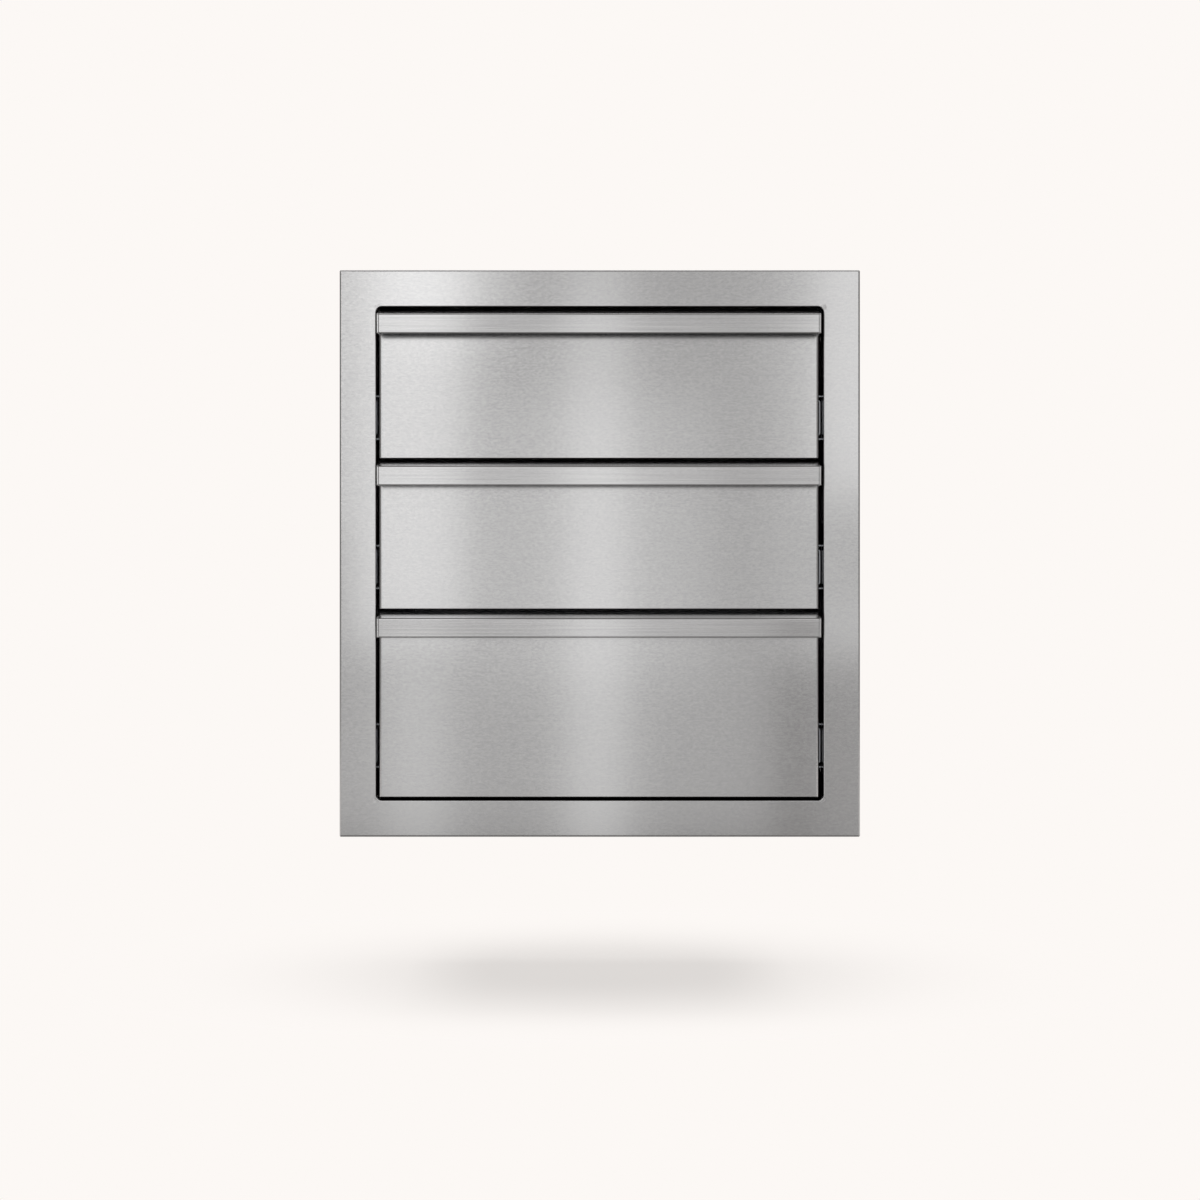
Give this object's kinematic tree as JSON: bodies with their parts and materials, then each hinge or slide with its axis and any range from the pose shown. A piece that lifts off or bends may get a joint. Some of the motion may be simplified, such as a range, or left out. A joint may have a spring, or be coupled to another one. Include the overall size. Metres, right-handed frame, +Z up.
{
  "type": "outdoor kitchen drawer unit",
  "caption": "Flanged stainless drawer unit for an outdoor kitchen island, with full-width lip pulls and full-extension ball-bearing slides.",
  "frame": {"origin": "on the flange's seat, the back of its turned edge, at the middle of the lower side", "axes": "+X to the right as seen from the front, +Y from the flange into the island, +Z up; the drawers open along -Y"},
  "size_m": [0.528, 0.5139, 0.575],
  "materials": {
    "frame_steel": "horizontal brushed grain",
    "face_steel": "horizontal brushed grain",
    "pull_steel": "horizontal brushed grain",
    "tray_steel": "mill finish, lightly brushed",
    "housing_steel": "mill finish",
    "slide_steel": "zinc-plated, roll-formed",
    "cage_steel": "bright strip with polished balls",
    "screw_steel": "plain stainless"
  },
  "bodies": {
    "cabinet": {"face_frame": "frame_steel", "housing_left_side": "housing_steel", "housing_right_side": "housing_steel", "housing_top": "housing_steel", "housing_bottom": "housing_steel", "housing_back": "housing_steel", "slide_1_left_cabinet_member": "slide_steel", "slide_1_right_cabinet_member": "slide_steel", "slide_2_left_cabinet_member": "slide_steel", "slide_2_right_cabinet_member": "slide_steel", "slide_3_left_cabinet_member": "slide_steel", "slide_3_right_cabinet_member": "slide_steel"},
    "drawer_1": {"drawer_1_face": "face_steel", "drawer_1_back_plate": "face_steel", "drawer_1_pull": "pull_steel", "drawer_1_pull_end_left": "pull_steel", "drawer_1_pull_end_right": "pull_steel", "drawer_1_tray": "tray_steel", "drawer_1_screw_left": "screw_steel", "drawer_1_screw_right": "screw_steel", "slide_1_left_drawer_member": "slide_steel", "slide_1_right_drawer_member": "slide_steel"},
    "slides_1_middle_members": {"slide_1_left_middle_member": "slide_steel", "slide_1_right_middle_member": "slide_steel"},
    "slides_1_outer_cages": {"slide_1_left_outer_cage": "cage_steel", "slide_1_right_outer_cage": "cage_steel"},
    "slides_1_inner_cages": {"slide_1_left_inner_cage": "cage_steel", "slide_1_right_inner_cage": "cage_steel"},
    "drawer_2": {"drawer_2_face": "face_steel", "drawer_2_back_plate": "face_steel", "drawer_2_pull": "pull_steel", "drawer_2_pull_end_left": "pull_steel", "drawer_2_pull_end_right": "pull_steel", "drawer_2_tray": "tray_steel", "drawer_2_screw_left": "screw_steel", "drawer_2_screw_right": "screw_steel", "slide_2_left_drawer_member": "slide_steel", "slide_2_right_drawer_member": "slide_steel"},
    "slides_2_middle_members": {"slide_2_left_middle_member": "slide_steel", "slide_2_right_middle_member": "slide_steel"},
    "slides_2_outer_cages": {"slide_2_left_outer_cage": "cage_steel", "slide_2_right_outer_cage": "cage_steel"},
    "slides_2_inner_cages": {"slide_2_left_inner_cage": "cage_steel", "slide_2_right_inner_cage": "cage_steel"},
    "drawer_3": {"drawer_3_face": "face_steel", "drawer_3_back_plate": "face_steel", "drawer_3_pull": "pull_steel", "drawer_3_pull_end_left": "pull_steel", "drawer_3_pull_end_right": "pull_steel", "drawer_3_tray": "tray_steel", "drawer_3_screw_left": "screw_steel", "drawer_3_screw_right": "screw_steel", "slide_3_left_drawer_member": "slide_steel", "slide_3_right_drawer_member": "slide_steel"},
    "slides_3_middle_members": {"slide_3_left_middle_member": "slide_steel", "slide_3_right_middle_member": "slide_steel"},
    "slides_3_outer_cages": {"slide_3_left_outer_cage": "cage_steel", "slide_3_right_outer_cage": "cage_steel"},
    "slides_3_inner_cages": {"slide_3_left_inner_cage": "cage_steel", "slide_3_right_inner_cage": "cage_steel"}
  },
  "joints": [
    {"name": "drawer_1_slide", "type": "slide", "parent": "cabinet", "child": "drawer_1", "axis": [0, -1, 0], "range_m": [0, 0.44]},
    {"name": "slides_1_middle_members_slide", "type": "slide", "parent": "cabinet", "child": "slides_1_middle_members", "axis": [0, -1, 0], "range_m": [0, 0.22]},
    {"name": "slides_1_outer_cages_slide", "type": "slide", "parent": "cabinet", "child": "slides_1_outer_cages", "axis": [0, -1, 0], "range_m": [0, 0.11]},
    {"name": "slides_1_inner_cages_slide", "type": "slide", "parent": "cabinet", "child": "slides_1_inner_cages", "axis": [0, -1, 0], "range_m": [0, 0.33]},
    {"name": "drawer_2_slide", "type": "slide", "parent": "cabinet", "child": "drawer_2", "axis": [0, -1, 0], "range_m": [0, 0.44]},
    {"name": "slides_2_middle_members_slide", "type": "slide", "parent": "cabinet", "child": "slides_2_middle_members", "axis": [0, -1, 0], "range_m": [0, 0.22]},
    {"name": "slides_2_outer_cages_slide", "type": "slide", "parent": "cabinet", "child": "slides_2_outer_cages", "axis": [0, -1, 0], "range_m": [0, 0.11]},
    {"name": "slides_2_inner_cages_slide", "type": "slide", "parent": "cabinet", "child": "slides_2_inner_cages", "axis": [0, -1, 0], "range_m": [0, 0.33]},
    {"name": "drawer_3_slide", "type": "slide", "parent": "cabinet", "child": "drawer_3", "axis": [0, -1, 0], "range_m": [0, 0.44]},
    {"name": "slides_3_middle_members_slide", "type": "slide", "parent": "cabinet", "child": "slides_3_middle_members", "axis": [0, -1, 0], "range_m": [0, 0.22]},
    {"name": "slides_3_outer_cages_slide", "type": "slide", "parent": "cabinet", "child": "slides_3_outer_cages", "axis": [0, -1, 0], "range_m": [0, 0.11]},
    {"name": "slides_3_inner_cages_slide", "type": "slide", "parent": "cabinet", "child": "slides_3_inner_cages", "axis": [0, -1, 0], "range_m": [0, 0.33]}
  ],
  "couplings": [
    {"joint": "slides_1_middle_members_slide", "follows": "drawer_1_slide", "ratio": 0.5},
    {"joint": "slides_1_outer_cages_slide", "follows": "drawer_1_slide", "ratio": 0.25},
    {"joint": "slides_1_inner_cages_slide", "follows": "drawer_1_slide", "ratio": 0.75},
    {"joint": "slides_2_middle_members_slide", "follows": "drawer_2_slide", "ratio": 0.5},
    {"joint": "slides_2_outer_cages_slide", "follows": "drawer_2_slide", "ratio": 0.25},
    {"joint": "slides_2_inner_cages_slide", "follows": "drawer_2_slide", "ratio": 0.75},
    {"joint": "slides_3_middle_members_slide", "follows": "drawer_3_slide", "ratio": 0.5},
    {"joint": "slides_3_outer_cages_slide", "follows": "drawer_3_slide", "ratio": 0.25},
    {"joint": "slides_3_inner_cages_slide", "follows": "drawer_3_slide", "ratio": 0.75}
  ]
}
